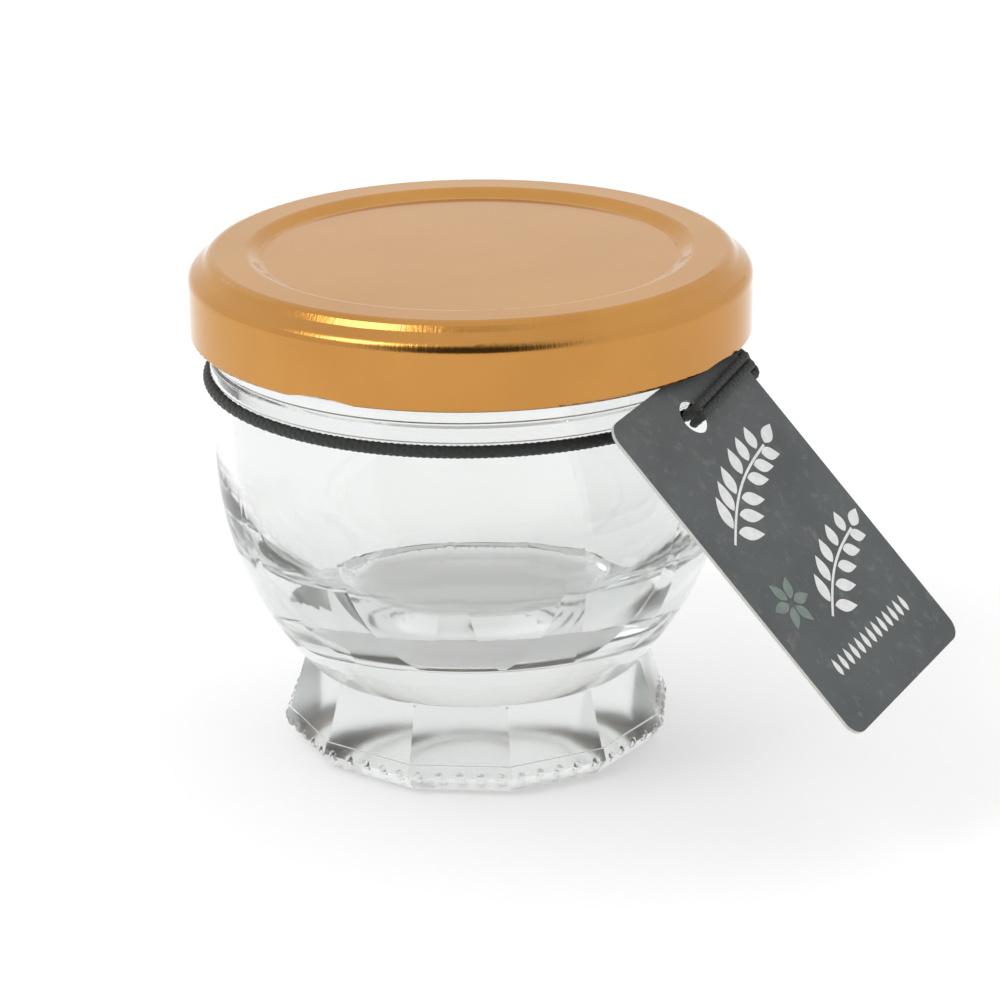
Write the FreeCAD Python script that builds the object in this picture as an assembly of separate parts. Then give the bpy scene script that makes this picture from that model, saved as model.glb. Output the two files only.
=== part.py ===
"""Small footed glass jar with a twist-off metal lid, an elastic cord and a swing tag.

Units are millimetres. +Z is up, the jar's axis is the Z axis and the origin lies
on the plane that the foot stands on. -Y is the front; the tag hangs at +X.
Every sub-part is one solid and is written to parts/NODE.step.
"""
import FreeCAD, Part
import math
import os

Vec = FreeCAD.Vector
UP = Vec(0, 0, 1)

# ---------------------------------------------------------------- driving sizes
# Foot: a ring of flat panels, narrower upwards, over a beaded belt
FOOT_SIDES = 12
FOOT_TURN = -5.5            # degrees, turns the panels about the axis
FOOT_RADIUS = 23.6          # corner radius at the widest level
HEEL_HEIGHT = 2.1           # ground to the widest level
HEEL_UNDERCUT = 1.6         # widest corner to the corner on the ground
BELT_TOP = 3.5              # top of the belt that carries the beads
PANEL_RECESS = 0.3          # panels inside the belt
FOOT_TAPER = 0.30           # loss of corner radius for each mm of height
FOOT_HEIGHT = 10.2          # ground to the waist
ARCH_SPRING = 3.2           # height at which the bell over the panels starts
ARCH_REACH = 4.0            # how far outside the corners it starts
BEAD_RADIUS = 0.75          # beads on the belt
BEAD_PROUD = 0.18
BEADS_PER_SIDE = 5
BEARING_WIDTH = 3.4         # ring on the ground round the push-up
PUSH_UP_DEPTH = 0.5         # hollow under the foot

# Bowl
WAIST_RADIUS = 20.6         # outside, between foot and bowl
WAIST_FILLET = 2.2
BOWL_RADIUS = 30.6          # outside, at the widest level
BOWL_LEVEL = 36.0           # height of the widest level
BOWL_WALL = 2.5
FLOOR_RISE = 5.8            # waist to the inside bottom
FLOOR_RADIUS = 14.2         # where the bowl's inside would meet the floor
FLOOR_ROUND = 5.0           # round between the two
FACETS = 12                 # soft flats inside the bowl
FACET_DEPTH = 0.55          # how far the flats reach into the lower bowl

# Neck: a seat for the cord, two rings with a groove between them, and the finish
NECK_RISE = 8.2             # widest level to the cord's seat
SHOULDER_BULGE = 0.25       # share of the narrowing that is done half-way up to the neck
NECK_STEP = 1.1             # rings outside the finish
SEAT_DEPTH = 0.7            # cord's seat inside the rings
SEAT_SHOULDER = 0.15        # bowl outside the cord's seat
SEAT_PLAY = 0.5             # seat taller than the cord
SEAT_SLOPE = 0.3            # height of the slopes at its two ends
RING_RISE = 2.0             # seat to the groove between the two rings
RING_GROOVE = 0.35
RING_ROUND = 0.2            # edges of the seat and the rings
RING_HEIGHT = 1.6           # groove to the top of the upper ring
FINISH_STEP = 0.8           # height of the slope from the upper ring to the finish
FINISH_ROUND = 0.4          # its two edges
FINISH_RADIUS = 29.8        # thread root
FINISH_WALL = 2.2
THROAT_ROUND = 1.0          # bore to the flare
RIM_ROUND = 0.8             # outer edge of the rim
MOUTH_FLARE = 0.7           # inner edge of the rim
THREAD_RADIUS = 0.85        # half-round thread section
THREAD_SPAN = 58.0          # degrees covered by one thread
THREAD_SLOPE = 3.0          # degrees

# Lid
LID_SHEET = 0.28
LID_HEIGHT = 9.7
LID_NECK_GAP = 0.5          # upper ring to the rolled edge
LID_WALL_GAP = 2.92         # thread root to the inside of the skirt
LID_CURL = 0.42             # radius of the rolled edge
LID_SHOULDER_WIDTH = 2.58   # flat crown to the skirt
LID_SHOULDER_DROP = 2.3
LID_SHOULDER_BREAK = (1.7, 1.05)    # middle corner of the shoulder, in and down
LID_BREAK_ROUND = 0.5
LID_SHOULDER_ROUND = 1.6    # shoulder to the skirt
LID_CROWN_WIDTH = 4.4
LID_PANEL_DEPTH = 0.95
LID_PANEL_SLOPE = 1.52      # width of the slope round the sunk panel
LID_PRESS_RADIUS = 1.2      # bends of the crown
LUGS = 4
LUG_TURN = 59.0             # degrees from the front, towards +X
LUG_SPAN = 15.0
LUG_ROOT_GAP = 0.25         # tip of a lug to the thread root
LUG_THICKNESS = 0.7
LUG_LIFT = 1.45             # rolled edge to the underside of a lug
LUG_NOTCH = 0.6             # how far the edge is raised at a lug
LUG_NOTCH_RADIUS = 18.0
LUG_NOTCH_REACH = 6.0       # notch from the skirt inwards
LUG_CLEARANCE = 0.1         # lug to thread
SEAL_THICKNESS = 1.12
SEAL_MARGIN = 0.6           # seal to the bends of the crown

# Elastic cord
CORD_DIAMETER = 1.5
CORD_CLEARANCE = 0.04
LOOP_DIAMETER = 1.1         # where it is stretched through the tag
LOOP_BEND = 0.62
LOOP_CLEARANCE = 0.03       # to the tag, and between the two strands
LOOP_EDGE_DROP = 3.6        # place on the tag's edge, below its top
LOOP_BEARING = 73.0         # degrees from the front where the strands leave the ring
LOOP_SPREAD = 2.2
BIGHT_REACH = 1.65          # bight outside the tag's edge
BIGHT_SPREAD = 1.8          # half its width

# Swing tag
TAG_WIDTH = 27.0
TAG_LENGTH = 43.0
TAG_THICKNESS = 0.4
TAG_CORNER = 2.0
TAG_HOLE = 4.2
TAG_HOLE_DROP = 4.8         # hole centre below the top edge
TAG_FACING = -37.6          # degrees, compass direction of the face from +X
TAG_LEAN = 42.3             # degrees, how far the face looks up
TAG_SPIN = 8.3              # degrees, turn of the tag within its own plane
TAG_SEAT_ACROSS = 18.37     # place on the tag that lies in the gap under the lid,
TAG_SEAT_DOWN = 0.55        # from its left edge and from its top edge
TAG_SEAT_OUT = 0.18         # face of the tag outside the neck rings

OVERLAP = 1.0               # how far tools for cuts and joins reach past a face
TOUCHING = 1e-6             # ends of two runs closer than this are one point

# ---------------------------------------------------------------- derived sizes
FOOT_BASE_RADIUS = FOOT_RADIUS - HEEL_UNDERCUT
PUSH_UP_RADIUS = FOOT_BASE_RADIUS - BEARING_WIDTH
BOWL_INNER_RADIUS = BOWL_RADIUS - BOWL_WALL
FLOOR_LEVEL = FOOT_HEIGHT + FLOOR_RISE
NECK_RADIUS = FINISH_RADIUS + NECK_STEP
FINISH_BORE = FINISH_RADIUS - FINISH_WALL
SEAT_BOTTOM = BOWL_LEVEL + NECK_RISE
SEAT_TOP = SEAT_BOTTOM + CORD_DIAMETER + SEAT_PLAY
CORD_RADIUS = CORD_DIAMETER / 2
LOOP_RADIUS = LOOP_DIAMETER / 2
CORD_LEVEL = (SEAT_BOTTOM + SEAT_TOP) / 2
CORD_SEAT_RADIUS = NECK_RADIUS - SEAT_DEPTH
CORD_RING_RADIUS = CORD_SEAT_RADIUS + CORD_CLEARANCE + CORD_RADIUS
RING_LEVEL = SEAT_TOP + RING_RISE
NECK_TOP = RING_LEVEL + RING_HEIGHT
LID_BOTTOM = NECK_TOP + LID_NECK_GAP
LID_TOP = LID_BOTTOM + LID_HEIGHT
LID_CEILING = LID_TOP - LID_SHEET
RIM_LEVEL = LID_CEILING - SEAL_THICKNESS
LID_RADIUS = FINISH_RADIUS + LID_WALL_GAP + LID_SHEET
LID_CROWN_RADIUS = LID_RADIUS - LID_SHOULDER_WIDTH
LID_CROWN_INNER = LID_CROWN_RADIUS - LID_CROWN_WIDTH
LUG_LEVEL = LID_BOTTOM + LUG_LIFT
LUG_TIP_ROUND = LUG_THICKNESS / 3


def direction(degrees_from_front):
    """Level unit vector at an angle from the front (-Y) towards +X."""
    angle = math.radians(degrees_from_front)
    return Vec(math.sin(angle), -math.cos(angle), 0)


def section(points):
    """Closed face in the XZ half-plane from corners (r, z, radius); radius 0 stays sharp."""
    return Part.Face(rounded_wire([(Vec(r, 0, z), radius) for r, z, radius in points], True))


def rounded_wire(corners, closed):
    """Straight runs joined by tangent arcs; corners are (point, arc radius)."""
    count = len(corners)
    starts = []
    edges = []
    ends = []
    for index, (point, radius) in enumerate(corners):
        at_end = not closed and index in (0, count - 1)
        if at_end or radius <= 0:
            starts.append(point)
            ends.append(point)
            edges.append(None)
            continue
        back = corners[index - 1][0] - point
        ahead = corners[(index + 1) % count][0] - point
        back.normalize()
        ahead.normalize()
        half = back.getAngle(ahead) / 2
        reach = radius / math.tan(half)
        middle = back + ahead
        middle.normalize()
        centre = point + middle * (radius / math.sin(half))
        first = point + back * reach
        last = point + ahead * reach
        starts.append(first)
        ends.append(last)
        edges.append(Part.Arc(first, centre - middle * radius, last).toShape())
    wire = []
    for index in range(count):
        if edges[index] is not None:
            wire.append(edges[index])
        if index == count - 1 and not closed:
            break
        following = starts[(index + 1) % count]
        if (following - ends[index]).Length > TOUCHING:
            wire.append(Part.LineSegment(ends[index], following).toShape())
    return Part.Wire(wire)


def revolved(face):
    return face.revolve(Vec(0, 0, 0), UP, 360)


def turned(shape, degrees):
    copy = shape.copy()
    copy.rotate(Vec(0, 0, 0), UP, degrees)
    return copy


def polygon_ring(radius, level):
    """Horizontal foot outline with corners half a step from the front."""
    step = 360.0 / FOOT_SIDES
    corners = []
    for index in range(FOOT_SIDES + 1):
        corners.append(direction(FOOT_TURN + step * (index + 0.5)) * radius + UP * level)
    return Part.makePolygon(corners)


# ---------------------------------------------------------------- glass jar
def bowl_arc(wide, narrow, low, high):
    """Arc in the XZ plane that stands upright at its top end and narrows downwards."""
    narrowing = wide - narrow
    rise = high - low
    radius = (narrowing ** 2 + rise ** 2) / (2 * narrowing)
    swing = math.asin(rise / radius) / 2
    middle = Vec(wide - radius * (1 - math.cos(swing)), 0, high - radius * math.sin(swing))
    return Part.Arc(Vec(narrow, 0, low), middle, Vec(wide, 0, high)).toShape()


def inside_edges(floor_radius):
    """Inside of the bowl from the flat floor over a tangent round and up to the widest level."""
    narrowing = BOWL_INNER_RADIUS - floor_radius
    rise = BOWL_LEVEL - FLOOR_LEVEL
    arc_radius = (narrowing ** 2 + rise ** 2) / (2 * narrowing)
    centre = Vec(BOWL_INNER_RADIUS - arc_radius, 0, BOWL_LEVEL)
    level = rise - FLOOR_ROUND
    reach = math.sqrt((arc_radius - FLOOR_ROUND) ** 2 - level ** 2)
    corner = Vec(centre.x + reach, 0, FLOOR_LEVEL + FLOOR_ROUND)
    out = (corner - centre).normalize()
    floor_end = Vec(corner.x, 0, FLOOR_LEVEL)
    meeting = centre + out * arc_radius
    across = (out + Vec(0, 0, -1)).normalize()
    corner_arc = Part.Arc(floor_end, corner + across * FLOOR_ROUND, meeting).toShape()
    halfway = (out + Vec(1, 0, 0)).normalize()
    top = Vec(BOWL_INNER_RADIUS, 0, BOWL_LEVEL)
    return [corner_arc, Part.Arc(meeting, centre + halfway * arc_radius, top).toShape()], floor_end


def shoulder_arc(low_radius, low, high_radius, high):
    """Arc in the XZ plane from the widest level in to the neck, upright at first."""
    middle = Vec(low_radius - (low_radius - high_radius) * SHOULDER_BULGE, 0, (low + high) / 2)
    return Part.Arc(Vec(low_radius, 0, low), middle, Vec(high_radius, 0, high)).toShape()


def foot():
    """Flared ring of panels: a tapering prism inside a bell, so each panel has an arched top."""
    top = FOOT_HEIGHT + OVERLAP
    belt_radius = FOOT_RADIUS - FOOT_TAPER * (BELT_TOP - HEEL_HEIGHT)
    panel_radius = FOOT_RADIUS - PANEL_RECESS
    top_radius = panel_radius - FOOT_TAPER * (top - HEEL_HEIGHT)
    widest = polygon_ring(FOOT_RADIUS, HEEL_HEIGHT)
    heel = Part.makeLoft([polygon_ring(FOOT_BASE_RADIUS, 0), widest], True, True)
    belt = Part.makeLoft([widest, polygon_ring(belt_radius, BELT_TOP)], True, True)
    panels = Part.makeLoft([polygon_ring(panel_radius, HEEL_HEIGHT), polygon_ring(top_radius, top)],
                           True, True)
    prism = heel.fuse([belt, panels])
    reach = FOOT_RADIUS + ARCH_REACH
    bell = revolved(section([
        (0, 0, 0), (reach, 0, 0), (reach, ARCH_SPRING, 0),
        (WAIST_RADIUS, FOOT_HEIGHT, WAIST_FILLET), (WAIST_RADIUS, top, 0), (0, top, 0)]))
    return prism.common(bell)


def belt_beads():
    """Row of small beads round the widest level, evenly spaced along every side."""
    step = 360.0 / FOOT_SIDES
    beads = []
    for side in range(FOOT_SIDES):
        first = direction(FOOT_TURN + step * (side - 0.5)) * FOOT_RADIUS
        last = direction(FOOT_TURN + step * (side + 0.5)) * FOOT_RADIUS
        outward = direction(FOOT_TURN + step * side)
        for index in range(BEADS_PER_SIDE):
            place = first + (last - first) * ((index + 0.5) / BEADS_PER_SIDE)
            place = place - outward * (BEAD_RADIUS - BEAD_PROUD) + UP * HEEL_HEIGHT
            beads.append(Part.makeSphere(BEAD_RADIUS, place))
    return beads


def upper_glass():
    """Bowl, cord seat, neck rings and finish as one turned body."""
    shoulder = CORD_SEAT_RADIUS + SEAT_SHOULDER
    lower = bowl_arc(BOWL_RADIUS, WAIST_RADIUS, FOOT_HEIGHT, BOWL_LEVEL)
    upper = shoulder_arc(BOWL_RADIUS, BOWL_LEVEL, shoulder, SEAT_BOTTOM)
    neck = [
        (shoulder, SEAT_BOTTOM, 0),
        (CORD_SEAT_RADIUS, SEAT_BOTTOM + SEAT_SLOPE, RING_ROUND),
        (CORD_SEAT_RADIUS, SEAT_TOP - SEAT_SLOPE, RING_ROUND),
        (NECK_RADIUS, SEAT_TOP, RING_ROUND),
        (NECK_RADIUS, RING_LEVEL - RING_GROOVE, RING_ROUND),
        (NECK_RADIUS - RING_GROOVE, RING_LEVEL, RING_ROUND),
        (NECK_RADIUS, RING_LEVEL + RING_GROOVE, RING_ROUND),
        (NECK_RADIUS, NECK_TOP, FINISH_ROUND),
        (FINISH_RADIUS, NECK_TOP + FINISH_STEP, FINISH_ROUND),
        (FINISH_RADIUS, RIM_LEVEL, RIM_ROUND),
        (FINISH_BORE - OVERLAP, RIM_LEVEL, 0),
        (0, RIM_LEVEL, 0),
        (0, FOOT_HEIGHT, 0),
        (WAIST_RADIUS, FOOT_HEIGHT, 0)]
    outline = rounded_wire([(Vec(r, 0, z), radius) for r, z, radius in neck], False)
    return revolved(Part.Face(Part.Wire([lower, upper] + outline.Edges)))


def cavity():
    """Inside of the jar: a round bowl with soft flats towards the floor, and the straight bore."""
    above = RIM_LEVEL + OVERLAP
    lower, floor_end = inside_edges(FLOOR_RADIUS)
    upper = shoulder_arc(BOWL_INNER_RADIUS, BOWL_LEVEL, FINISH_BORE, SEAT_BOTTOM)
    throat = [
        (FINISH_BORE, SEAT_BOTTOM, 0),
        (FINISH_BORE, RIM_LEVEL - MOUTH_FLARE, THROAT_ROUND),
        (FINISH_BORE + MOUTH_FLARE, above, 0),
        (0, above, 0),
        (0, FLOOR_LEVEL, 0),
        (floor_end.x, FLOOR_LEVEL, 0)]
    outline = rounded_wire([(Vec(r, 0, z), radius) for r, z, radius in throat], False)
    hollow = revolved(Part.Face(Part.Wire(lower + [upper] + outline.Edges)))
    for index in range(FACETS // 2):
        hollow = hollow.common(turned(gore(above), FOOT_TURN + index * 360.0 / FACETS))
    return hollow


def gore(above):
    """Bar with the bowl's inside as both its sides, so that it leaves two opposite flats."""
    side, floor_end = inside_edges(FLOOR_RADIUS - FACET_DEPTH)
    other_side = [edge.mirror(Vec(0, 0, 0), Vec(1, 0, 0)) for edge in side[::-1]]
    wide = 2 * max(BOWL_RADIUS, NECK_RADIUS)
    corners = [(BOWL_INNER_RADIUS, BOWL_LEVEL), (wide, BOWL_LEVEL), (wide, above)]
    frame = [Vec(x, 0, z) for x, z in corners] + [Vec(-x, 0, z) for x, z in corners[::-1]]
    floor_line = Part.LineSegment(Vec(-floor_end.x, 0, floor_end.z), floor_end).toShape()
    outline = Part.Wire(side + Part.makePolygon(frame).Edges + other_side + [floor_line])
    bar = Part.Face(outline).extrude(Vec(0, 2 * wide, 0))
    bar.translate(Vec(0, -wide, 0))
    return bar


def push_up():
    """Shallow dome under the foot, which leaves the bearing ring."""
    sphere_radius = (PUSH_UP_RADIUS ** 2 + PUSH_UP_DEPTH ** 2) / (2 * PUSH_UP_DEPTH)
    return Part.makeSphere(sphere_radius, Vec(0, 0, PUSH_UP_DEPTH - sphere_radius))


def threads():
    """One short sloping thread for each lug, just above it."""
    radius = FINISH_RADIUS
    slope = math.tan(math.radians(THREAD_SLOPE))
    rise = radius * math.sin(math.radians(LUG_SPAN / 2)) * slope
    level = LUG_LEVEL + LUG_THICKNESS + LUG_CLEARANCE + THREAD_RADIUS + rise
    half = math.radians(THREAD_SPAN / 2)
    pieces = []
    for index in range(LUGS):
        thread = Part.makeTorus(radius, THREAD_RADIUS, Vec(0, 0, 0), UP, 0, 360, THREAD_SPAN)
        thread = thread.fuse(Part.makeSphere(THREAD_RADIUS, Vec(radius, 0, 0)))
        far = Vec(radius * math.cos(2 * half), radius * math.sin(2 * half), 0)
        thread = thread.fuse(Part.makeSphere(THREAD_RADIUS, far))
        thread.rotate(Vec(0, 0, 0), UP, -THREAD_SPAN / 2)
        thread.rotate(Vec(0, 0, 0), Vec(1, 0, 0), THREAD_SLOPE)
        thread.translate(UP * level)
        pieces.append(turned(thread, LUG_TURN - 90 + index * 360.0 / LUGS))
    return pieces


def jar():
    glass = upper_glass().fuse(foot())
    glass = glass.fuse(belt_beads() + threads())
    glass = glass.cut(cavity())
    return glass.cut(push_up())


# ---------------------------------------------------------------- lid
def lid_outline():
    """Outer line of the lid from its centre to the rolled edge."""
    panel = LID_TOP - LID_PANEL_DEPTH
    break_in, break_down = LID_SHOULDER_BREAK
    return [
        (0, panel, 0),
        (LID_CROWN_INNER - LID_PANEL_SLOPE, panel, LID_PRESS_RADIUS),
        (LID_CROWN_INNER, LID_TOP, LID_PRESS_RADIUS),
        (LID_CROWN_RADIUS, LID_TOP, LID_PRESS_RADIUS),
        (LID_RADIUS - break_in, LID_TOP - break_down, LID_BREAK_ROUND),
        (LID_RADIUS, LID_TOP - LID_SHOULDER_DROP, LID_SHOULDER_ROUND),
        (LID_RADIUS, LID_BOTTOM + LID_CURL, 0)]


def lid():
    """Pressed sheet lid with a rolled edge and turned-in lugs."""
    path = rounded_wire([(Vec(r, 0, z), radius) for r, z, radius in lid_outline()], False)
    sheet = path.makeOffset2D(-LID_SHEET, 0, True, True)
    shell = revolved(sheet)
    curl = Part.makeTorus(LID_RADIUS - LID_CURL, LID_CURL, UP * (LID_BOTTOM + LID_CURL))
    shell = shell.fuse(curl)
    for index in range(LUGS):
        bearing = LUG_TURN - 90 + index * 360.0 / LUGS
        outer = LID_RADIUS - LID_SHEET / 2
        tip = FINISH_RADIUS + LUG_ROOT_GAP
        face = section([
            (tip, LUG_LEVEL, LUG_TIP_ROUND), (outer, LUG_LEVEL, 0),
            (outer, LUG_LEVEL + LUG_THICKNESS, 0),
            (tip, LUG_LEVEL + LUG_THICKNESS, LUG_TIP_ROUND)])
        lug = face.revolve(Vec(0, 0, 0), UP, LUG_SPAN)
        shell = shell.fuse(turned(lug, bearing - LUG_SPAN / 2))
        notch = Part.makeCylinder(LUG_NOTCH_RADIUS, 2 * LUG_NOTCH_REACH,
                                  Vec(LID_RADIUS - LUG_NOTCH_REACH, 0, 0), Vec(1, 0, 0))
        notch.translate(UP * (LID_BOTTOM + LUG_NOTCH - LUG_NOTCH_RADIUS))
        shell = shell.cut(turned(notch, bearing))
    return shell


def lid_seal():
    """Ring of sealing compound between the lid's crown and the glass rim."""
    inner = LID_CROWN_INNER + SEAL_MARGIN
    outer = LID_CROWN_RADIUS - SEAL_MARGIN
    return revolved(section([
        (inner, RIM_LEVEL, 0), (outer, RIM_LEVEL, 0), (outer, LID_CEILING, 0), (inner, LID_CEILING, 0)]))


# ---------------------------------------------------------------- tag and cord
def tag_axes():
    """Seat point, across, down and outward unit vectors of the tag's face."""
    facing = math.radians(TAG_FACING)
    lean = math.radians(TAG_LEAN)
    spin = math.radians(TAG_SPIN)
    level = Vec(math.cos(facing), math.sin(facing), 0)
    outward = level * math.cos(lean) + UP * math.sin(lean)
    along = Vec(-math.sin(facing), math.cos(facing), 0)
    rise = outward.cross(along)
    across = along * math.cos(spin) + rise * math.sin(spin)
    down = along * math.sin(spin) - rise * math.cos(spin)
    seat = level * (NECK_RADIUS + TAG_SEAT_OUT) + UP * LID_BOTTOM
    return seat, across, down, outward


def on_tag(across_by, down_by, height):
    """Point given from the tag's top left corner, and its height over the face."""
    seat, across, down, outward = tag_axes()
    return (seat + across * (across_by - TAG_SEAT_ACROSS)
            + down * (down_by - TAG_SEAT_DOWN) + outward * height)


def tag():
    outline = rounded_wire([
        (on_tag(0, 0, 0), TAG_CORNER), (on_tag(TAG_WIDTH, 0, 0), TAG_CORNER),
        (on_tag(TAG_WIDTH, TAG_LENGTH, 0), TAG_CORNER), (on_tag(0, TAG_LENGTH, 0), TAG_CORNER)], True)
    outward = tag_axes()[3]
    card = Part.Face(outline).extrude(outward * -TAG_THICKNESS)
    hole = Part.makeCylinder(TAG_HOLE / 2, 4 * TAG_THICKNESS,
                             on_tag(TAG_WIDTH / 2, TAG_HOLE_DROP, -2 * TAG_THICKNESS), outward)
    return card.cut(hole)


def tube(points, radius, bend):
    """Round bar along straight runs joined by arcs."""
    path = rounded_wire([(point, bend) for point in points], False)
    ring = Part.Wire(Part.makeCircle(radius, points[0], points[1] - points[0]))
    return path.makePipeShell([ring], True, False)


def ring_point(degrees_from_front):
    return direction(degrees_from_front) * CORD_RING_RADIUS + UP * CORD_LEVEL


def elastic():
    """Ring round the neck and the loop that is hitched through the tag's hole.

    Both strands run from the ring over the tag's edge and along its face into the
    hole; behind the tag they return to the edge and meet in a bight round the pair.
    """
    middle = TAG_WIDTH / 2
    front = LOOP_RADIUS + LOOP_CLEARANCE
    back = -TAG_THICKNESS - front
    edge = TAG_WIDTH + front
    halves = []
    for side in (1, -1):
        halves.append([
            ring_point(LOOP_BEARING - side * LOOP_SPREAD),
            on_tag(edge, LOOP_EDGE_DROP + side * front, front),
            on_tag(middle, TAG_HOLE_DROP + side * front, front),
            on_tag(middle, TAG_HOLE_DROP + side * front, back),
            on_tag(edge + BIGHT_REACH, LOOP_EDGE_DROP + side * BIGHT_SPREAD, back)])
    loop = tube(halves[0] + halves[1][::-1], LOOP_RADIUS, LOOP_BEND)
    ring = Part.makeTorus(CORD_RING_RADIUS, CORD_RADIUS, UP * CORD_LEVEL)
    return ring.fuse(loop)


NODES = (
    ("jar", jar),
    ("lid", lid),
    ("lid_seal", lid_seal),
    ("elastic", elastic),
    ("tag", tag),
)

if __name__ == "__main__":
    os.makedirs("parts", exist_ok=True)
    for name, build in NODES:
        shape = build()
        solids = shape.Solids
        print(name, "solids", len(solids), "volume", round(shape.Volume, 1), "valid", shape.isValid())
        shape.exportStep("parts/%s.step" % name)
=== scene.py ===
import math

import bmesh
import bpy
from mathutils import Matrix, Vector

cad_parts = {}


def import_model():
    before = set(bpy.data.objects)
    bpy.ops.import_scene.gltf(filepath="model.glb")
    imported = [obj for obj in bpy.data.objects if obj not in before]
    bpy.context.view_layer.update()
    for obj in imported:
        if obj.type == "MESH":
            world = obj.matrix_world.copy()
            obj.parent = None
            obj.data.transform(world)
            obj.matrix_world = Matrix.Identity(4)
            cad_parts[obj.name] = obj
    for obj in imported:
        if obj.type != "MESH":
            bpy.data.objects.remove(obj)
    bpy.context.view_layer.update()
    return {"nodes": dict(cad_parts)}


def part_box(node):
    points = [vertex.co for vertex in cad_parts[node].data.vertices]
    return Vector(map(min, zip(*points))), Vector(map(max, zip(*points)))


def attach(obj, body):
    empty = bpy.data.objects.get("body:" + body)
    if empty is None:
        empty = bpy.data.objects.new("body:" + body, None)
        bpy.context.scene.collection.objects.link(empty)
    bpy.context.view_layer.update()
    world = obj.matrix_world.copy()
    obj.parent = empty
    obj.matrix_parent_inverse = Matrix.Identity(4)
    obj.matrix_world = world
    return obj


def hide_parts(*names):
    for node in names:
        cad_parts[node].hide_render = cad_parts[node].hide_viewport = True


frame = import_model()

MM = 0.001
UP = Vector((0, 0, 1))

# ---------------------------------------------------------------- sizes, in metres
# Zones of the finishes; each pair is where a change starts and where it is complete
FOOT_FINISH = (10 * MM, 15 * MM)    # from pressed glass to polished glass
LID_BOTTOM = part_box("lid")[0].z
WHITE_LACQUER = (LID_BOTTOM + 0.9 * MM, LID_BOTTOM + 1.1 * MM)   # above the rolled edge
SHOULDER_RADIUS = (28.5 * MM, 30.0 * MM)
SHOULDER_LEVEL = (LID_BOTTOM + 5.5 * MM, LID_BOTTOM + 7.5 * MM)
PRESS_MARKS = (130.0, 500.0, 500.0)     # noise per radian round the lid, per metre out and up

# Elastic cord: a ring round the neck and a loop through the tag
CORD_RADIUS = 0.75 * MM
LOOP_RADIUS = 0.55 * MM             # where it is stretched through the tag
LOOP_CLEARANCE = 0.03 * MM          # to the tag, and half the gap between the two strands
LOOP_BEND = 0.62 * MM               # radius of its bends
LOOP_EDGE_DROP = 3.6 * MM           # where the strands cross the tag's edge, below its top
LOOP_BEARING = 73.0                 # degrees from the front where the strands leave the ring
LOOP_SPREAD = 2.2                   # degrees to either side of that
BIGHT_REACH = 1.65 * MM             # bight behind the tag, outside that crossing
BIGHT_SPREAD = 1.8 * MM             # half its width
TAG_HOLE_DROP = 4.8 * MM            # hole centre below the top edge

# Braid: threads that wind both ways
BRAID_STRANDS = 4                   # each way
BRAID_RELIEF = 0.16                 # depth between the threads, of the cord's radius
RING_PITCH = 1.5 * MM               # repeat along the cord, fitted to whole turns of the ring
LOOP_PITCH = 1.4 * MM
RING_STEPS = 1560                   # along the ring
RING_SIDES = 24                     # round the cord
LOOP_SIDES = 18
LOOP_SPACING = 0.125 * MM           # along the loop
BEND_STEPS = 12                     # round each bend of the loop

# Print on the tag; outlines are in millimetres on its face
PRINT_HEIGHT = 0.03 * MM            # of the ink, over the face
STEM_STEPS = 20
STEM_WIDTH = 0.32
LEAF_STEPS = 14
LEAF_FULLNESS = 0.8                 # under 1, fuller towards the root
LEAF_LEAN = 52.0                    # degrees, leaf to stem
LEAF_GAP = 0.5                      # stem to a leaf's root
LEAF_SHORTENING = 0.35              # lost along the stem, of the first pair's length
TIP_GAP = 0.4
TIP_LENGTH = 0.8                    # of the first pair's
SEEDS = 13
SEED_STEP = 1.4
SEED_START = (5.1, 37.1)            # across and down from the tag's corner
SEED_SIZE = (2.2, 0.8)
PETALS = 6
PETAL_SIZE = (2.8, 1.4)
ROSETTE_CENTRE = (5.9, 27.4)
ROSETTE_TURN = 8.0                  # degrees
ROSETTE_GAP = 0.55                  # centre to a petal's root

# Studio
FLOOR_REACH = 3.0
FLOOR_LEVEL = -0.3 * MM             # just clear of the glass, as faces in one plane turn black
DIM_TOWARDS = Vector((0.0, -0.92, 0.39)).normalized()   # middle of the dark part of the studio
DIM_EDGE = (0.70, 0.95)             # cosines of the angle from its middle, outer and inner
DIM_STRENGTH = (1.0, 0.06)          # brightness outside it and within it
KEY_PLACE = Vector((-0.5, -0.3, 0.7))
KEY_AIM = Vector((0, 0, 0.03))
KEY_SIZE = 0.35
KEY_POWER = 2.0                     # watts
CAMERA_PLACE = (0, -0.3875, 0.1696)
CAMERA_YAW = 0.457                  # degrees
CAMERA_PITCH = 20.04
CAMERA_ROLL = -0.74
CAMERA_LENS = 123.9                 # millimetres, on a sensor 36 wide


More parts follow.
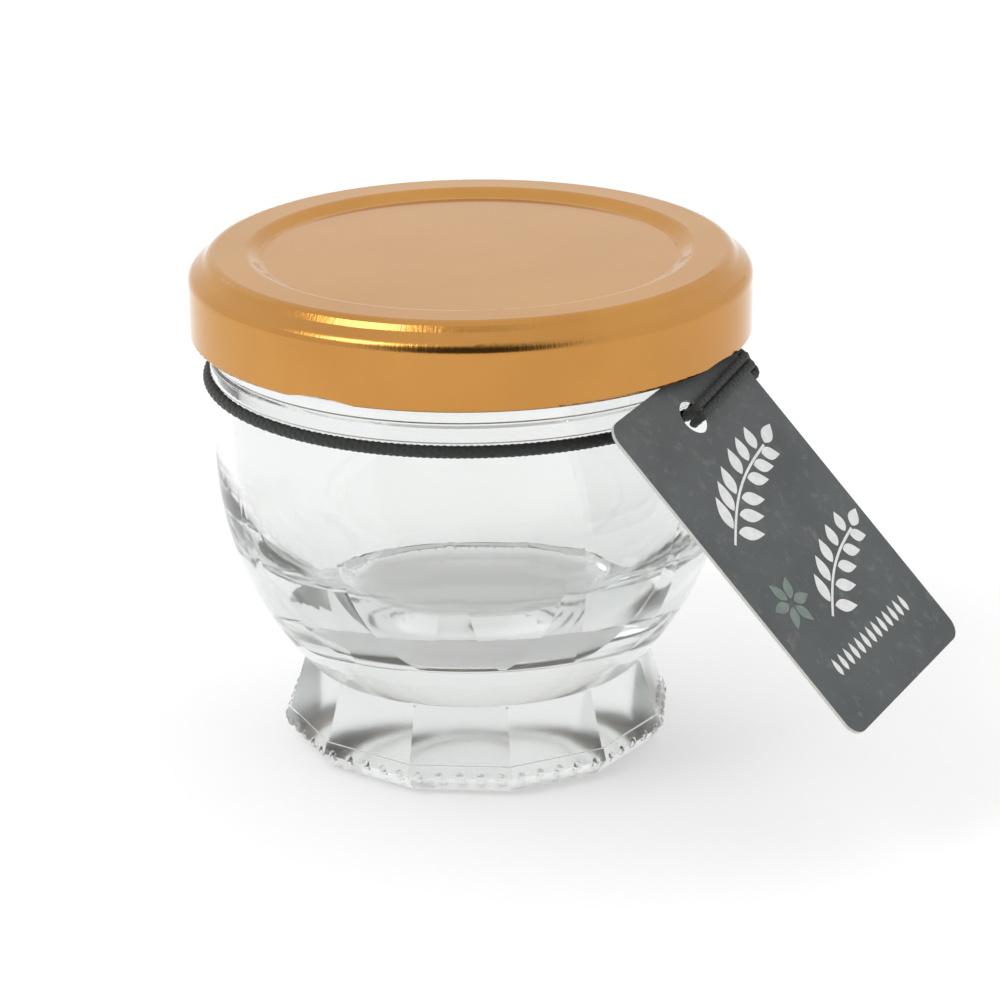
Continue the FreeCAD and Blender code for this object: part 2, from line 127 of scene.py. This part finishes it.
# ---------------------------------------------------------------- node helpers
class Shader:
    """A node material being built; every helper returns an output socket."""

    def __init__(self, name):
        self.material = bpy.data.materials.new(name)
        self.material.use_nodes = True
        self.tree = self.material.node_tree
        self.tree.nodes.clear()
        self.output = self.tree.nodes.new("ShaderNodeOutputMaterial")
        self.bsdf = self.tree.nodes.new("ShaderNodeBsdfPrincipled")
        self.tree.links.new(self.bsdf.outputs[0], self.output.inputs[0])

    def node(self, kind, **values):
        made = self.tree.nodes.new("ShaderNode" + kind)
        for key, value in values.items():
            setattr(made, key, value)
        return made

    def link(self, source, target):
        self.tree.links.new(source, target)

    def put(self, socket, value):
        """A number or colour goes on the socket itself, an output is linked to it."""
        if isinstance(value, bpy.types.NodeSocket):
            self.link(value, socket)
        else:
            socket.default_value = value

    def set(self, **values):
        for name, value in values.items():
            self.put(self.bsdf.inputs[name.replace("_", " ")], value)
        return self

    def math(self, operation, a, b=0.0):
        made = self.node("Math", operation=operation)
        for socket, value in zip(made.inputs, (a, b)):
            self.put(socket, value)
        return made.outputs[0]

    def vector(self, operation, a, b):
        made = self.node("VectorMath", operation=operation)
        self.put(made.inputs[0], a)
        self.put(made.inputs[1], b)
        return made.outputs["Value" if operation == "DOT_PRODUCT" else "Vector"]

    def place(self):
        """Position in the part's frame, in metres."""
        return self.node("TexCoord").outputs["Object"]

    def normal(self):
        return self.node("NewGeometry").outputs["Normal"]

    def split(self, vector):
        made = self.node("SeparateXYZ")
        self.put(made.inputs[0], vector)
        return made.outputs

    def noise(self, scale, detail, rough, where=None, stretch=None):
        where = where or self.place()
        if stretch:
            where = self.vector("MULTIPLY", where, stretch)
        made = self.node("TexNoise")
        self.put(made.inputs["Vector"], where)
        self.put(made.inputs["Scale"], scale)
        self.put(made.inputs["Detail"], detail)
        self.put(made.inputs["Roughness"], rough)
        return made.outputs["Fac"]

    def remap(self, value, low, high, to_low=0.0, to_high=1.0):
        made = self.node("MapRange", interpolation_type="SMOOTHSTEP")
        for socket, item in zip(made.inputs, (value, low, high, to_low, to_high)):
            self.put(socket, item)
        return made.outputs[0]

    def mix(self, factor, a, b):
        made = self.node("Mix", data_type="RGBA")
        self.put(made.inputs[0], factor)
        self.put(made.inputs[6], a)
        self.put(made.inputs[7], b)
        return made.outputs[2]

    def bump(self, height, distance, strength, normal=None):
        made = self.node("Bump")
        self.put(made.inputs["Height"], height)
        self.put(made.inputs["Distance"], distance)
        self.put(made.inputs["Strength"], strength)
        if normal is not None:
            self.link(normal, made.inputs["Normal"])
        return made.outputs[0]


def rgb(red, green, blue):
    """sRGB 0-255 to a linear colour."""
    def linear(value):
        value /= 255
        return value / 12.92 if value <= 0.04045 else ((value + 0.055) / 1.055) ** 2.4
    return (linear(red), linear(green), linear(blue), 1.0)


# ---------------------------------------------------------------- frame of the tag
def tag_frame():
    """Top left corner of the tag's face, and its across, down and outward directions."""
    mesh = bmesh.new()
    mesh.from_mesh(frame["nodes"]["tag"].data)
    outward = max((f for f in mesh.faces if f.normal.z > 0), key=lambda f: f.calc_area()).normal.copy()
    bmesh.ops.remove_doubles(mesh, verts=mesh.verts, dist=0.001 * MM)
    sharp = [e for e in mesh.edges if len(e.link_faces) == 2 and e.calc_face_angle() > 1.0]
    longest = max(sharp, key=lambda e: e.calc_length())
    down = (longest.verts[1].co - longest.verts[0].co).normalized()
    if down.z > 0:
        down = -down
    across = outward.cross(down)
    reach = [min(v.co.dot(axis) for v in mesh.verts) for axis in (across, down)]
    height = max(v.co.dot(outward) for v in mesh.verts)
    mesh.free()
    corner = across * reach[0] + down * reach[1] + outward * height
    return corner, across, down, outward


TAG_CORNER, TAG_ACROSS, TAG_DOWN, TAG_OUT = tag_frame()


def on_tag(across_by, down_by, height):
    return TAG_CORNER + TAG_ACROSS * across_by + TAG_DOWN * down_by + TAG_OUT * height


def tag_reach(axis):
    reach = [v.co.dot(axis) for v in frame["nodes"]["tag"].data.vertices]
    return max(reach) - min(reach)


# ---------------------------------------------------------------- materials
def clear_glass():
    """Slightly wavy clear glass, faintly green where it is thick and duller in the foot."""
    s = Shader("clear_glass")
    ripple = s.noise(90.0, 2.0, 0.4, stretch=(1.0, 1.0, 0.45))
    s.set(Base_Color=(0.905, 0.914, 0.909, 1.0), Transmission_Weight=1.0, IOR=1.5)
    height = s.split(s.place())[2]
    s.set(Roughness=s.remap(height, *FOOT_FINISH, 0.12, 0.03))
    s.set(Normal=s.bump(ripple, 0.12 * MM, 0.35))
    absorb = s.node("VolumeAbsorption")
    absorb.inputs["Color"].default_value = (0.84, 0.87, 0.855, 1.0)
    absorb.inputs["Density"].default_value = 14.0
    s.link(absorb.outputs[0], s.output.inputs["Volume"])
    return s.material


def copper_lacquer():
    """Copper lacquer outside, with marks of the press on the shoulder, and white lacquer inside."""
    s = Shader("copper_lacquer")
    x, y, z = s.split(s.place())
    radius = s.math("SQRT", s.math("ADD", s.math("MULTIPLY", x, x), s.math("MULTIPLY", y, y)))
    nx, ny, nz = s.split(s.normal())
    outward = s.math("ADD", s.math("MULTIPLY", x, nx), s.math("MULTIPLY", y, ny))
    outward = s.math("DIVIDE", outward, s.math("MAXIMUM", radius, 1 * MM))
    facing = s.math("MAXIMUM", outward, nz)
    inside = s.math("MULTIPLY", s.remap(facing, 0.02, -0.02), s.remap(z, *WHITE_LACQUER))
    peel = s.noise(2600.0, 2.0, 0.5)
    bearing = s.math("ARCTAN2", y, x)
    round_lid = s.node("CombineXYZ")
    for socket, value, often in zip(round_lid.inputs, (bearing, radius, z), PRESS_MARKS):
        s.put(socket, s.math("MULTIPLY", value, often))
    marks = s.noise(1.0, 3.0, 0.6, where=round_lid.outputs[0])
    shoulder = s.math("MULTIPLY", s.remap(radius, *SHOULDER_RADIUS), s.remap(z, *SHOULDER_LEVEL))
    pressed = s.bump(s.math("MULTIPLY", marks, shoulder), 0.06 * MM, 0.6)
    cloud = s.noise(55.0, 3.0, 0.5)
    copper = s.mix(s.remap(cloud, 0.3, 0.7), rgb(188, 130, 56), rgb(197, 140, 64))
    s.set(Base_Color=s.mix(inside, copper, rgb(226, 222, 212)),
          Metallic=s.math("SUBTRACT", 1.0, inside),
          Roughness=s.math("ADD", s.remap(cloud, 0.3, 0.7, 0.16, 0.21), s.math("MULTIPLY", inside, 0.25)),
          Coat_Weight=1.0, Coat_Roughness=0.06, Coat_IOR=1.36, Specular_Tint=(0.86, 0.68, 0.44, 1.0),
          Normal=s.bump(peel, 0.01 * MM, 0.5, pressed))
    return s.material


def seal_compound():
    s = Shader("seal_compound")
    grain = s.noise(900.0, 3.0, 0.6)
    s.set(Base_Color=s.mix(grain, rgb(214, 210, 198), rgb(228, 225, 216)), Roughness=0.6,
          Normal=s.bump(grain, 0.03 * MM, 0.4))
    return s.material


def black_elastic():
    s = Shader("black_elastic")
    fibre = s.noise(2500.0, 2.0, 0.5)
    s.set(Base_Color=s.mix(fibre, rgb(24, 28, 25), rgb(44, 49, 45)), Roughness=0.7,
          Sheen_Weight=0.15, Normal=s.bump(fibre, 0.04 * MM, 0.5))
    return s.material


def tag_card():
    """Dark worn face and back, and pale card where it is cut."""
    s = Shader("tag_card")
    grain = s.noise(1800.0, 4.0, 0.6)
    cloud = s.noise(120.0, 2.0, 0.5)
    worn = s.noise(650.0, 4.0, 0.7)
    card = s.mix(s.remap(cloud, 0.3, 0.7), rgb(78, 82, 82), rgb(88, 92, 92))
    face = s.mix(s.remap(worn, 0.52, 0.75), card, rgb(106, 110, 109))
    facing = s.math("ABSOLUTE", s.vector("DOT_PRODUCT", s.normal(), tuple(TAG_OUT)))
    core = s.mix(grain, rgb(186, 186, 180), rgb(214, 214, 208))
    s.set(Base_Color=s.mix(s.remap(facing, 0.5, 0.6), core, face), Roughness=0.6,
          Normal=s.bump(grain, 0.02 * MM, 0.35))
    return s.material


def ink(name, dark, light):
    s = Shader(name)
    patchy = s.noise(900.0, 3.0, 0.6)
    s.set(Base_Color=s.mix(s.remap(patchy, 0.3, 0.7), dark, light), Roughness=0.5,
          Normal=s.bump(patchy, 0.01 * MM, 0.3))
    return s.material


finishes = {
    "jar": clear_glass(),
    "lid": copper_lacquer(),
    "lid_seal": seal_compound(),
    "elastic": black_elastic(),
    "tag": tag_card(),
}
for node, material in finishes.items():
    piece = frame["nodes"][node]
    piece.data.materials.clear()
    piece.data.materials.append(material)


# ---------------------------------------------------------------- braided elastic
def rounded_path(points, bend, spacing):
    """Evenly spaced points along straight runs joined by tangent arcs."""
    path = [points[0]]
    for before, point, after in zip(points, points[1:], points[2:]):
        back = (before - point).normalized()
        ahead = (after - point).normalized()
        half = back.angle(ahead) / 2
        middle = (back + ahead).normalized()
        centre = point + middle * (bend / math.sin(half))
        reach = bend / math.tan(half)
        first = point + back * reach - centre
        last = point + ahead * reach - centre
        for index in range(BEND_STEPS + 1):
            path.append(centre + first.slerp(last, index / BEND_STEPS) * bend)
    path.append(points[-1])
    even = [path[0]]
    left = spacing
    for start, end in zip(path, path[1:]):
        run = (end - start).length
        while run > left:
            start = start + (end - start) * (left / run)
            even.append(start)
            run -= left
            left = spacing
        left -= run
    return even


def braid(angle, length, pitch):
    """Height of the braid, 0 to 1, where strands that wind both ways pass over each other."""
    lean = 2 * math.pi * length / pitch
    one = BRAID_STRANDS * angle + lean
    other = BRAID_STRANDS * angle - lean
    over = math.cos(one / 2) ** 2 * (0.5 + 0.5 * math.sin(other))
    under = math.cos(other / 2) ** 2 * (0.5 - 0.5 * math.sin(one))
    return max(over, under)


def braided_tube(path, radius, around, closed, pitch):
    """Vertices and faces of a tube whose highest threads lie on the cord's radius."""
    count = len(path)
    verts = []
    faces = []
    side = None
    length = 0.0
    for index, point in enumerate(path):
        if closed:
            tangent = (path[(index + 1) % count] - path[index - 1]).normalized()
        else:
            tangent = (path[min(index + 1, count - 1)] - path[max(index - 1, 0)]).normalized()
        if side is None:
            side = tangent.orthogonal().normalized() if not closed else UP.copy()
        side = (side - tangent * side.dot(tangent)).normalized()
        other = tangent.cross(side)
        if index:
            length += (point - path[index - 1]).length
        for step in range(around):
            angle = 2 * math.pi * step / around
            height = braid(angle, length, pitch)
            reach = radius * (1 - BRAID_RELIEF * (1 - height))
            verts.append(point + side * (math.cos(angle) * reach) + other * (math.sin(angle) * reach))
    rings = count if closed else count - 1
    for index in range(rings):
        following = (index + 1) % count
        for step in range(around):
            near = (step + 1) % around
            faces.append((index * around + step, index * around + near,
                          following * around + near, following * around + step))
    if not closed:
        faces.append(tuple(range(around))[::-1])
        faces.append(tuple((count - 1) * around + step for step in range(around)))
    return verts, faces


def made_piece(name, verts, faces, material, smooth):
    """A mesh object that rides on the jar, with its faces turned outwards."""
    mesh = bpy.data.meshes.new(name)
    mesh.from_pydata([tuple(v) for v in verts], [], faces)
    tidy = bmesh.new()
    tidy.from_mesh(mesh)
    bmesh.ops.recalc_face_normals(tidy, faces=tidy.faces)
    tidy.to_mesh(mesh)
    tidy.free()
    mesh.materials.append(material)
    for polygon in mesh.polygons:
        polygon.use_smooth = smooth
    piece = bpy.data.objects.new(name, mesh)
    bpy.context.scene.collection.objects.link(piece)
    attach(piece, "root")
    return piece


def elastic():
    """The ring round the neck, and the loop that runs over the tag's edge, through its hole and back."""
    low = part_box("elastic")[0]
    ring_radius = -low.x - CORD_RADIUS
    level = low.z + CORD_RADIUS
    ring = []
    for index in range(RING_STEPS):
        angle = 2 * math.pi * index / RING_STEPS
        ring.append(Vector((ring_radius * math.sin(angle), -ring_radius * math.cos(angle), level)))
    length = 2 * math.pi * ring_radius
    turns = round(length / RING_PITCH)
    verts, faces = braided_tube(ring, CORD_RADIUS, RING_SIDES, True, length / turns)

    width = tag_reach(TAG_ACROSS)
    front = LOOP_RADIUS + LOOP_CLEARANCE
    back = -tag_reach(TAG_OUT) - front
    edge = width + front
    halves = []
    for way in (1, -1):
        bearing = math.radians(LOOP_BEARING - way * LOOP_SPREAD)
        start = Vector((math.sin(bearing), -math.cos(bearing), 0)) * ring_radius + UP * level
        halves.append([
            start,
            on_tag(edge, LOOP_EDGE_DROP + way * front, front),
            on_tag(width / 2, TAG_HOLE_DROP + way * front, front),
            on_tag(width / 2, TAG_HOLE_DROP + way * front, back),
            on_tag(edge + BIGHT_REACH, LOOP_EDGE_DROP + way * BIGHT_SPREAD, back)])
    path = rounded_path(halves[0] + halves[1][::-1], LOOP_BEND, LOOP_SPACING)
    loop_verts, loop_faces = braided_tube(path, LOOP_RADIUS, LOOP_SIDES, False, LOOP_PITCH)
    first = len(verts)
    verts += loop_verts
    faces += [tuple(first + item for item in face) for face in loop_faces]
    piece = made_piece("braided_elastic", verts, faces, finishes["elastic"], True)
    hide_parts("elastic")


# ---------------------------------------------------------------- print on the tag
def slab(outline, verts, faces):
    """Adds a flat printed shape with a little height; outline in mm on the tag's face."""
    first = len(verts)
    count = len(outline)
    for height in (0.0, PRINT_HEIGHT):
        for across_by, down_by in outline:
            verts.append(on_tag(across_by * MM, down_by * MM, height))
    faces.append(tuple(first + index for index in range(count))[::-1])
    faces.append(tuple(first + count + index for index in range(count)))
    for index in range(count):
        near = (index + 1) % count
        faces.append((first + index, first + near, first + count + near, first + count + index))


def leaf(root, heading, length, width):
    """Pointed leaf outline, fuller towards its root."""
    along = Vector((math.cos(heading), math.sin(heading)))
    side = Vector((-along.y, along.x))
    near = []
    far = []
    for index in range(LEAF_STEPS + 1):
        part = index / LEAF_STEPS
        half = width / 2 * math.sin(math.pi * part ** LEAF_FULLNESS)
        place = Vector(root) + along * (length * part)
        near.append(place + side * half)
        far.append(place - side * half)
    return [tuple(v) for v in near[:-1] + far[:0:-1]]


def stroke(points, width):
    """Outline of a line of even width along the points."""
    left = []
    right = []
    for index, point in enumerate(points):
        before = Vector(points[max(index - 1, 0)])
        after = Vector(points[min(index + 1, len(points) - 1)])
        along = (after - before).normalized()
        side = Vector((-along.y, along.x)) * (width / 2)
        left.append(tuple(Vector(point) + side))
        right.append(tuple(Vector(point) - side))
    return left + right[::-1]


def sprig(start, end, sag, pairs, length, width, verts, faces):
    """Curved stem with pairs of leaves along it and one leaf at the tip."""
    start = Vector(start)
    end = Vector(end)
    run = end - start
    ahead = run.normalized()
    heading = math.atan2(run.y, run.x)
    side = Vector((-run.y, run.x)).normalized()
    stem = []
    for index in range(STEM_STEPS + 1):
        part = index / STEM_STEPS
        stem.append(start + run * part + side * (sag * math.sin(math.pi * part)))
    slab(stroke([tuple(p) for p in stem], STEM_WIDTH), verts, faces)
    margin = STEM_STEPS // 10
    for pair in range(pairs):
        place = stem[margin + round(pair * (STEM_STEPS - 2 * margin) / (pairs - 1))]
        size = length * (1.0 - LEAF_SHORTENING * pair / pairs)
        for way in (1, -1):
            lean = heading + way * math.radians(LEAF_LEAN)
            gap = Vector((math.cos(lean), math.sin(lean))) * LEAF_GAP
            slab(leaf(tuple(place + gap), lean, size, width), verts, faces)
    slab(leaf(tuple(end + ahead * TIP_GAP), heading, length * TIP_LENGTH, width), verts, faces)


def white_print():
    """Two sprigs and a row of seeds."""
    verts = []
    faces = []
    sprig((4.6, 18.6), (20.2, 12.2), -1.3, 6, 4.1, 1.7, verts, faces)
    sprig((10.2, 31.6), (23.2, 25.8), -1.1, 5, 3.6, 1.6, verts, faces)
    first, row = SEED_START
    for index in range(SEEDS):
        slab(leaf((first + SEED_STEP * index, row), math.radians(-90), *SEED_SIZE), verts, faces)
    white = ink("white_ink", rgb(226, 227, 226), rgb(238, 239, 238))
    piece = made_piece("white_print", verts, faces, white, False)


def sage_print():
    """Rosette of leaves."""
    verts = []
    faces = []
    x, y = ROSETTE_CENTRE
    for index in range(PETALS):
        heading = math.radians(360 / PETALS * index + ROSETTE_TURN)
        root = (x + ROSETTE_GAP * math.cos(heading), y + ROSETTE_GAP * math.sin(heading))
        slab(leaf(root, heading, *PETAL_SIZE), verts, faces)
    sage = ink("sage_ink", rgb(112, 126, 119), rgb(126, 139, 132))
    piece = made_piece("sage_print", verts, faces, sage, False)


# ---------------------------------------------------------------- floor, light, camera
def floor():
    """Pale matt floor that glows a little, as a light table does."""
    s = Shader("floor")
    s.set(Base_Color=(0.66, 0.66, 0.66, 1.0), Roughness=0.9)
    s.bsdf.inputs["Specular IOR Level"].default_value = 0.0
    s.bsdf.inputs["Emission Color"].default_value = (1.0, 1.0, 1.0, 1.0)
    s.bsdf.inputs["Emission Strength"].default_value = 0.42
    mesh = bpy.data.meshes.new("floor")
    corners = [(x * FLOOR_REACH, y * FLOOR_REACH, FLOOR_LEVEL)
               for x, y in ((-1, -1), (1, -1), (1, 1), (-1, 1))]
    mesh.from_pydata(corners, [], [(0, 1, 2, 3)])
    mesh.materials.append(s.material)
    made = bpy.data.objects.new("floor", mesh)
    bpy.context.scene.collection.objects.link(made)


def key_light():
    """Small soft light from the upper left, which gives the highlights on the lid."""
    light = bpy.data.lights.new("key", "AREA")
    light.shape = "RECTANGLE"
    light.size = KEY_SIZE
    light.size_y = KEY_SIZE
    light.energy = KEY_POWER
    made = bpy.data.objects.new("key", light)
    made.location = KEY_PLACE
    made.rotation_euler = (KEY_AIM - KEY_PLACE).to_track_quat("-Z", "Y").to_euler()
    bpy.context.scene.collection.objects.link(made)


def world():
    """White studio with a dark part in front, which gives the lid its dark bands."""
    made = bpy.data.worlds.new("studio")
    bpy.context.scene.world = made
    made.use_nodes = True
    tree = made.node_tree
    background = tree.nodes["Background"]
    background.inputs["Color"].default_value = (1, 1, 1, 1)
    place = tree.nodes.new("ShaderNodeTexCoord")
    toward = tree.nodes.new("ShaderNodeVectorMath")
    toward.operation = "DOT_PRODUCT"
    toward.inputs[1].default_value = DIM_TOWARDS
    dim = tree.nodes.new("ShaderNodeMapRange")
    dim.interpolation_type = "SMOOTHSTEP"
    for socket, value in zip(list(dim.inputs)[1:5], DIM_EDGE + DIM_STRENGTH):
        socket.default_value = value
    tree.links.new(place.outputs["Generated"], toward.inputs[0])
    tree.links.new(toward.outputs["Value"], dim.inputs[0])
    tree.links.new(dim.outputs[0], background.inputs["Strength"])


def camera():
    """Looks down on the jar from the front, a little above it."""
    data = bpy.data.cameras.new("camera")
    data.sensor_width = 36.0
    data.lens = CAMERA_LENS
    data.clip_start = 0.01
    made = bpy.data.objects.new("camera", data)
    yaw = math.radians(CAMERA_YAW)
    pitch = math.radians(CAMERA_PITCH)
    roll = math.radians(CAMERA_ROLL)
    ahead = Vector((math.sin(yaw) * math.cos(pitch), math.cos(yaw) * math.cos(pitch), -math.sin(pitch)))
    level = ahead.cross(UP).normalized()
    rise = level.cross(ahead)
    right = level * math.cos(roll) + rise * math.sin(roll)
    top = rise * math.cos(roll) - level * math.sin(roll)
    turn = Matrix((right, top, -ahead)).transposed()
    made.matrix_world = Matrix.Translation(CAMERA_PLACE) @ turn.to_4x4()
    bpy.context.scene.collection.objects.link(made)
    bpy.context.scene.camera = made


elastic()
white_print()
sage_print()
floor()
world()
key_light()
camera()
bpy.context.scene.view_settings.view_transform = "Standard"
cycles = bpy.context.scene.cycles
cycles.max_bounces = 32
cycles.glossy_bounces = 24
cycles.transmission_bounces = 32
